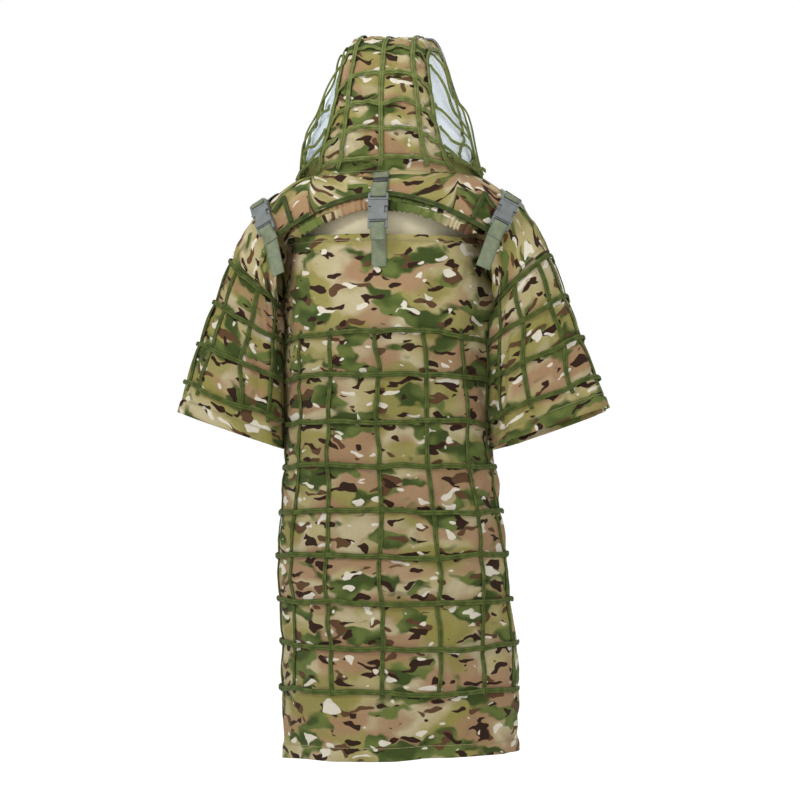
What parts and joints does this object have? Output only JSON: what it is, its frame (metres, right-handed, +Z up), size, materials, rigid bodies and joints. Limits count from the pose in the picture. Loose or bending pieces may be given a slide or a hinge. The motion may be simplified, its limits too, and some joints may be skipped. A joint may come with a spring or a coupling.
{
  "type": "hooded sniper coat",
  "caption": "Hooded half-sleeve sniper coat with a long back panel, green tape nets and side-release buckles on the back.",
  "frame": {"origin": "middle of the neck opening, level with the tops of the shoulder seams", "axes": "+Z up, +Y towards the wearer's back, +X towards the wearer's left"},
  "size_m": [0.7362, 0.3112, 1.2472],
  "materials": {
    "camo_cloth": "matte woven camouflage cloth",
    "net_tape": "flat braided cord",
    "buckle_plastic": "moulded, fine grain",
    "black_plastic": "moulded, fine grain",
    "webbing": "ribbed webbing",
    "liner_mesh": "fine knitted mesh",
    "hood_mesh": "open see-through mesh",
    "plain_cloth": "plain woven cloth",
    "steel_wire": "spring wire",
    "elastic": "covered elastic"
  },
  "bodies": {
    "coat": {"yoke_back": "camo_cloth", "front_bib_left": "camo_cloth", "front_bib_right": "camo_cloth", "yoke_tapes": "net_tape", "vent_casing": "camo_cloth", "vent_elastic": "elastic", "back_liner": "liner_mesh", "back_panel": "camo_cloth", "back_net_rows": "net_tape", "back_net_columns": "net_tape", "shoulder_straps": "webbing", "shoulder_adjusters": "black_plastic", "side_strap_left": "webbing", "side_strap_right": "webbing", "side_adjuster_left": "black_plastic", "side_adjuster_right": "black_plastic", "left_buckle_socket": "buckle_plastic", "left_buckle_plug": "buckle_plastic", "left_buckle_upper_strap": "webbing", "left_buckle_lower_strap": "webbing", "centre_buckle_socket": "buckle_plastic", "centre_buckle_plug": "buckle_plastic", "centre_buckle_upper_strap": "webbing", "centre_buckle_lower_strap": "webbing", "right_buckle_socket": "buckle_plastic", "right_buckle_plug": "buckle_plastic", "right_buckle_upper_strap": "webbing", "right_buckle_lower_strap": "webbing", "chest_buckle_socket": "buckle_plastic", "chest_buckle_plug": "buckle_plastic", "chest_buckle_upper_strap": "webbing", "chest_buckle_lower_strap": "webbing"},
    "hood": {"hood_centre_panel": "camo_cloth", "hood_side_net_left": "hood_mesh", "hood_side_net_right": "hood_mesh", "hood_gussets": "plain_cloth", "hood_net_rows": "net_tape", "hood_net_columns": "net_tape", "hood_brim": "camo_cloth", "hood_brim_wire": "steel_wire"},
    "sleeve_left": {"sleeve_left": "camo_cloth", "sleeve_left_net_rows": "net_tape", "sleeve_left_net_columns": "net_tape"},
    "sleeve_right": {"sleeve_right": "camo_cloth", "sleeve_right_net_rows": "net_tape", "sleeve_right_net_columns": "net_tape"},
    "tail": {"tail_panel": "camo_cloth", "tail_net_rows": "net_tape", "tail_net_columns": "net_tape"},
    "left_prong_left": {"left_buckle_prong_left": "buckle_plastic"},
    "left_prong_right": {"left_buckle_prong_right": "buckle_plastic"},
    "centre_prong_left": {"centre_buckle_prong_left": "buckle_plastic"},
    "centre_prong_right": {"centre_buckle_prong_right": "buckle_plastic"},
    "right_prong_left": {"right_buckle_prong_left": "buckle_plastic"},
    "right_prong_right": {"right_buckle_prong_right": "buckle_plastic"},
    "chest_prong_left": {"chest_buckle_prong_left": "buckle_plastic"},
    "chest_prong_right": {"chest_buckle_prong_right": "buckle_plastic"}
  },
  "joints": [
    {"name": "hood_tip_back", "type": "hinge", "parent": "coat", "child": "hood", "pos_m": [0, 0.106, 0.0125], "axis": [-1, 0, 0], "range_deg": [0, 30]},
    {"name": "sleeve_left_swing", "type": "hinge", "parent": "coat", "child": "sleeve_left", "pos_m": [0.271, 0, -0.12], "axis": [0, -1, 0], "range_deg": [0, 30]},
    {"name": "sleeve_right_swing", "type": "hinge", "parent": "coat", "child": "sleeve_right", "pos_m": [-0.271, 0, -0.12], "axis": [0, 1, 0], "range_deg": [0, 30]},
    {"name": "tail_swing", "type": "hinge", "parent": "coat", "child": "tail", "pos_m": [0, 0.13, -0.472], "axis": [1, 0, 0], "range_deg": [0, 25]},
    {"name": "left_prong_left_press", "type": "hinge", "parent": "coat", "child": "left_prong_left", "pos_m": [0.20138, 0.08813, -0.04494], "axis": [-0.3925, -0.8871, -0.2428], "range_deg": [0, 9], "stiffness_Nm_per_rad": 0.05},
    {"name": "left_prong_right_press", "type": "hinge", "parent": "coat", "child": "left_prong_right", "pos_m": [0.21818, 0.0831, -0.05371], "axis": [0.3925, 0.8871, 0.2428], "range_deg": [0, 9], "stiffness_Nm_per_rad": 0.05},
    {"name": "centre_prong_left_press", "type": "hinge", "parent": "coat", "child": "centre_prong_left", "pos_m": [-0.0098, 0.14558, -0.04805], "axis": [0, -0.9805, -0.1965], "range_deg": [0, 9], "stiffness_Nm_per_rad": 0.05},
    {"name": "centre_prong_right_press", "type": "hinge", "parent": "coat", "child": "centre_prong_right", "pos_m": [0.0098, 0.14558, -0.04805], "axis": [0, 0.9805, 0.1965], "range_deg": [0, 9], "stiffness_Nm_per_rad": 0.05},
    {"name": "right_prong_left_press", "type": "hinge", "parent": "coat", "child": "right_prong_left", "pos_m": [-0.21818, 0.0831, -0.05371], "axis": [0.3925, -0.8871, -0.2428], "range_deg": [0, 9], "stiffness_Nm_per_rad": 0.05},
    {"name": "right_prong_right_press", "type": "hinge", "parent": "coat", "child": "right_prong_right", "pos_m": [-0.20138, 0.08813, -0.04494], "axis": [-0.3925, 0.8871, 0.2428], "range_deg": [0, 9], "stiffness_Nm_per_rad": 0.05},
    {"name": "chest_prong_left_press", "type": "hinge", "parent": "coat", "child": "chest_prong_left", "pos_m": [0.0173, -0.1435, -0.1398], "axis": [0, 1, 0], "range_deg": [0, 9], "stiffness_Nm_per_rad": 0.05},
    {"name": "chest_prong_right_press", "type": "hinge", "parent": "coat", "child": "chest_prong_right", "pos_m": [0.0173, -0.1435, -0.1202], "axis": [0, -1, 0], "range_deg": [0, 9], "stiffness_Nm_per_rad": 0.05}
  ],
  "couplings": [
    {"joint": "left_prong_left_press", "follows": "left_prong_right_press", "ratio": 1},
    {"joint": "centre_prong_left_press", "follows": "centre_prong_right_press", "ratio": 1},
    {"joint": "right_prong_left_press", "follows": "right_prong_right_press", "ratio": 1},
    {"joint": "chest_prong_left_press", "follows": "chest_prong_right_press", "ratio": 1}
  ]
}
